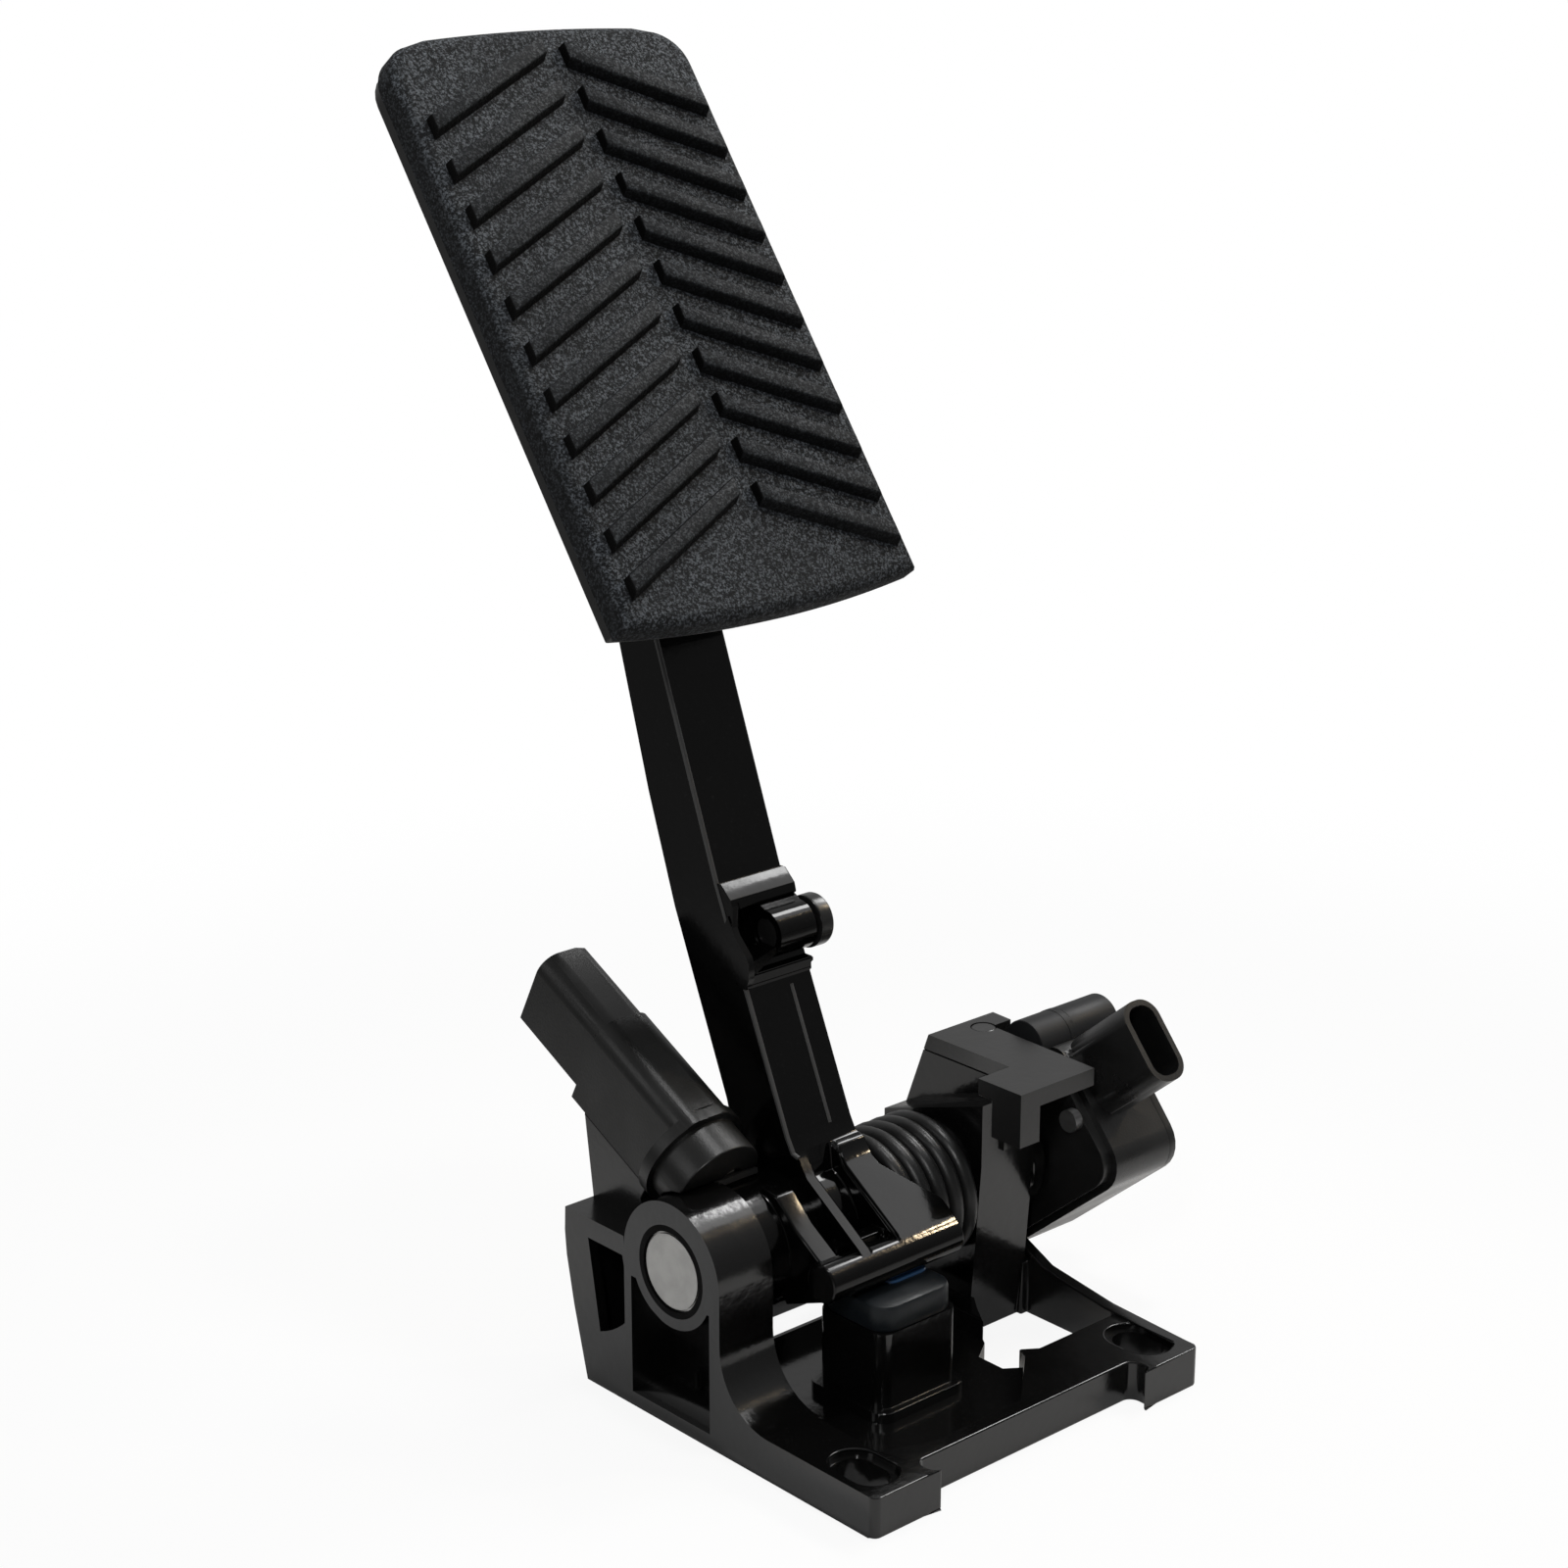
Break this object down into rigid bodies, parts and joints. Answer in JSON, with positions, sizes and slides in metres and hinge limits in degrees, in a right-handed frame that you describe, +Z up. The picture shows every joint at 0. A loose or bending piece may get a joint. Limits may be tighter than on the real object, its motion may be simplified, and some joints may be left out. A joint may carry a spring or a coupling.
{
  "type": "floor-mounted accelerator pedal",
  "caption": "Floor-mounted accelerator pedal: cast base, sprung arm with a ribbed foot pad on a steel pivot shaft, bumper stop and electric sensor units.",
  "frame": {"origin": "centre of the base's underside", "axes": "+X along the pivot towards the sensor, +Y forward (the way the pad is pressed), +Z up"},
  "size_m": [0.136, 0.172, 0.306],
  "materials": {
    "cast_black": "gloss",
    "arm_black": "gloss",
    "clamp_black": "satin",
    "plate_black": "satin",
    "bush": "matte",
    "steel": "satin",
    "spring_steel": "satin",
    "black_steel": "satin",
    "screw_zinc": "satin",
    "magnet": "satin",
    "tread_rubber": "matte, grained",
    "coated_spring": "satin",
    "bumper_rubber": "satin",
    "blue_plastic": "gloss",
    "switch_plastic": "matte",
    "sensor_plastic": "satin",
    "grey_plastic": "satin",
    "pale_plastic": "matte",
    "cream_silicone": "matte",
    "seal_rubber": "matte",
    "board": "satin",
    "terminals": "satin"
  },
  "bodies": {
    "frame": {"base": "cast_black", "left_bush": "bush", "right_bush": "bush", "return_spring": "coated_spring", "stop_bumper": "bumper_rubber", "bumper_cap": "blue_plastic", "switch_housing": "switch_plastic", "switch_terminals": "terminals", "switch_plunger": "pale_plastic", "switch_spring": "spring_steel", "switch_screws": "screw_zinc", "sensor_housing": "sensor_plastic", "sensor_cover": "sensor_plastic", "sensor_board": "board", "sensor_terminals": "terminals", "sensor_seal": "seal_rubber", "sensor_screws": "screw_zinc", "grey_plug": "grey_plastic", "plug_seal": "cream_silicone", "clamp_plate": "clamp_black", "clamp_screw": "black_steel"},
    "pedal": {"pivot_shaft": "steel", "retaining_ring": "spring_steel", "hub_pin": "spring_steel", "pedal_arm": "arm_black", "catch_pin": "black_steel", "pad_plate": "plate_black", "pad_tread": "tread_rubber", "pad_screws": "black_steel", "spring_sleeve": "bush", "sensor_rotor": "pale_plastic", "sensor_magnet": "magnet"}
  },
  "joints": [
    {"name": "pedal_pivot", "type": "hinge", "parent": "frame", "child": "pedal", "pos_m": [0, 0.018, 0.039], "axis": [-1, 0, 0], "range_deg": [0, 20], "stiffness_Nm_per_rad": 8, "springref_deg": -28.65, "deforming": ["return_spring"]}
  ]
}
